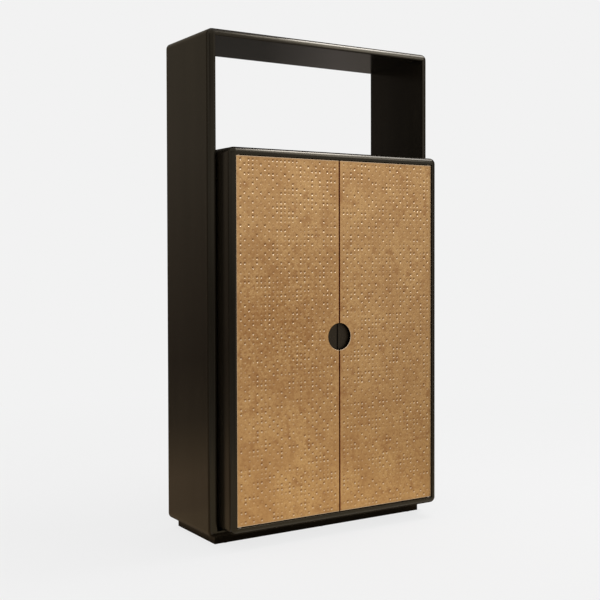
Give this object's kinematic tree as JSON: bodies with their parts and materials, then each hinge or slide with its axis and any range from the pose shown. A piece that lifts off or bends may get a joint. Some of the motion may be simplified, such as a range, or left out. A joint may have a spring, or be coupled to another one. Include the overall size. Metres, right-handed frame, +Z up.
{
  "type": "bar armoire",
  "caption": "Tall bar armoire: a cabinet with dimpled brass doors and a round split finger pull, set in a taller open surround on a recessed plinth.",
  "frame": {"origin": "on the floor under the middle of the whole piece's bounding box", "axes": "+Z up, the front faces -Y, +X to the viewer's right"},
  "size_m": [1.143, 0.5174, 2.134],
  "materials": {
    "dark_lacquer": "satin lacquer, espresso",
    "plain_wood": "unfinished",
    "back_board": "stained plywood",
    "brass_sheet": "patinated, dimpled",
    "pull_lining": "dark satin",
    "steel": "zinc plated",
    "bronze": "plain",
    "nylon": "matte",
    "dark_plastic": "matte",
    "bumper_felt": "matte",
    "clear_glass": "clear, polished edge",
    "mirror_glass": "plain mirror"
  },
  "bodies": {
    "carcass": {"floor_bolts": "steel", "side_bolts": "steel", "plinth_screws": "steel", "surround_splines": "plain_wood", "surround_top": "dark_lacquer", "surround_bottom": "dark_lacquer", "surround_side_left": "dark_lacquer", "surround_side_right": "dark_lacquer", "plinth_front": "dark_lacquer", "plinth_back": "dark_lacquer", "plinth_left": "dark_lacquer", "plinth_right": "dark_lacquer", "plinth_corner_blocks": "plain_wood", "floor_glides": "nylon", "cabinet_splines": "plain_wood", "back_panel_screws": "steel", "cabinet_top": "dark_lacquer", "cabinet_bottom": "dark_lacquer", "cabinet_side_left": "dark_lacquer", "cabinet_side_right": "dark_lacquer", "cabinet_back_panel": "back_board", "side_spacers": "plain_wood", "serving_shelf": "dark_lacquer", "glass_shelf": "clear_glass", "lower_partition": "dark_lacquer", "lower_shelf_left": "dark_lacquer", "lower_shelf_right": "dark_lacquer", "shelf_pins": "steel", "bottle_rack_rising": "dark_lacquer", "bottle_rack_falling": "dark_lacquer", "stemware_battens": "dark_lacquer", "stemware_runners": "dark_lacquer", "mirror_panel": "mirror_glass", "pivot_bushes": "bronze", "thrust_washers": "nylon", "door_stop_top": "dark_lacquer", "door_stop_bottom": "dark_lacquer", "door_bumpers": "bumper_felt", "magnetic_catches": "dark_plastic"},
    "door_left": {"door_left_pivot_screws": "steel", "door_left_bottom_pivot": "steel", "door_left_top_pivot": "steel", "door_left_core": "dark_lacquer", "door_left_skin": "brass_sheet", "door_left_pull_cup": "pull_lining", "door_left_strike": "steel"},
    "door_right": {"door_right_pivot_screws": "steel", "door_right_bottom_pivot": "steel", "door_right_top_pivot": "steel", "door_right_core": "dark_lacquer", "door_right_skin": "brass_sheet", "door_right_pull_cup": "pull_lining", "door_right_strike": "steel"}
  },
  "joints": [
    {"name": "door_left_hinge", "type": "hinge", "parent": "carcass", "child": "door_left", "pos_m": [-0.4912, -0.24425, 0.85215], "axis": [0, 0, -1], "range_deg": [0, 110]},
    {"name": "door_right_hinge", "type": "hinge", "parent": "carcass", "child": "door_right", "pos_m": [0.4912, -0.24425, 0.85215], "axis": [0, 0, 1], "range_deg": [0, 110]}
  ]
}
